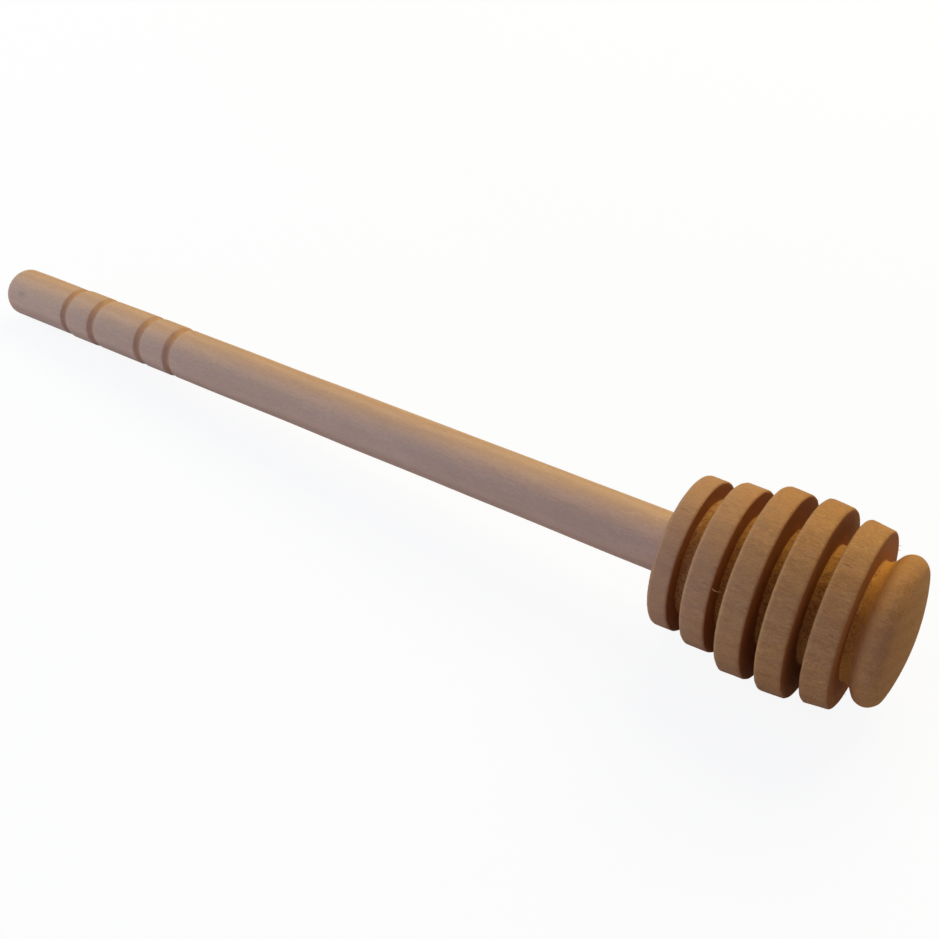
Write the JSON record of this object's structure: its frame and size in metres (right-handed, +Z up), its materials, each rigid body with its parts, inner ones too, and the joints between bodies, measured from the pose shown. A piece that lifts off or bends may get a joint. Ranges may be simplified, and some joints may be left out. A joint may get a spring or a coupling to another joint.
{
  "type": "honey dipper",
  "caption": "Turned wooden honey dipper: a ribbed, barrel-shaped head with an end knob on a slim round handle with grip grooves.",
  "frame": {"origin": "on the table under the middle of the dipper's length, as it lies at rest", "axes": "+X from the handle's butt towards the head, +Z up, +Y across; the dipper's own axis lies in the XZ plane and climbs a little towards the head"},
  "size_m": [0.158, 0.0248, 0.0249],
  "materials": {
    "handle_wood": "bare turned hardwood, fine straight grain, matt",
    "head_wood": "bare turned hardwood, slightly browner than the handle, matt, fuzzy end grain in the grooves"
  },
  "bodies": {
    "root": {"handle": "handle_wood", "head": "head_wood"}
  },
  "joints": []
}
